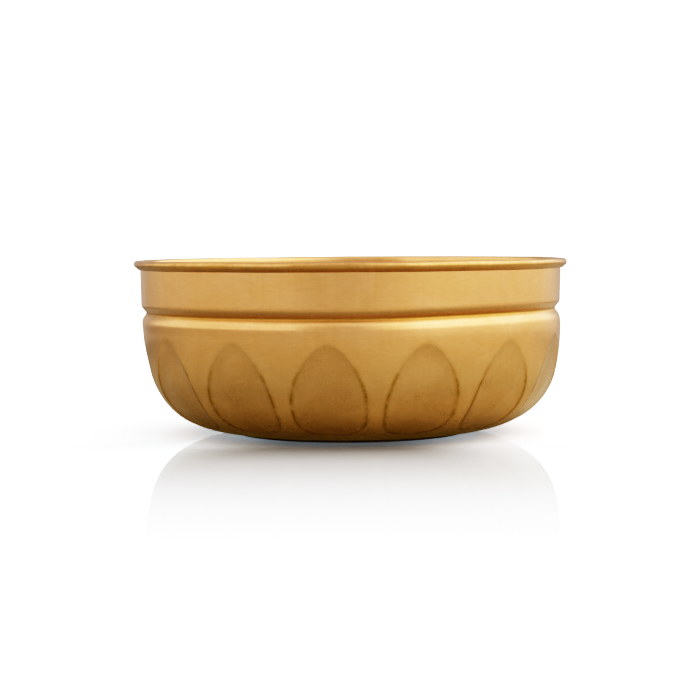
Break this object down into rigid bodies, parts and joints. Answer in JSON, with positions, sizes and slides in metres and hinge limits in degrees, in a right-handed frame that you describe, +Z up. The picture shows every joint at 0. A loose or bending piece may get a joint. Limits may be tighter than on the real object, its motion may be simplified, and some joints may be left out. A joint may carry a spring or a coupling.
{
  "type": "brass urli bowl",
  "caption": "Wide sheet-brass bowl with a curled rim, a grooved neck and petals pressed into a rounded belly, standing on a low foot ring. Holds water and floating flowers.",
  "frame": {"origin": "on the table, at the bottom centre of the foot ring, on the bowl's axis", "axes": "+Z up along the bowl's axis, -Y the front that the first view shows, +X to the viewer's right"},
  "size_m": [0.305, 0.305, 0.1223],
  "materials": {
    "polished_brass": "satin polished and lightly brushed, with dark tarnish in the creases",
    "rim_wire_steel": "plain drawn steel wire, hidden in the rim",
    "foot_brass": "unpolished brass, darkened by handling and shade",
    "braze_filler": "dull filler with a dark flux line at its edges"
  },
  "bodies": {
    "root": {"bowl_shell": "polished_brass", "rim_wire": "rim_wire_steel", "foot_ring": "foot_brass", "foot_braze": "braze_filler"}
  },
  "joints": []
}
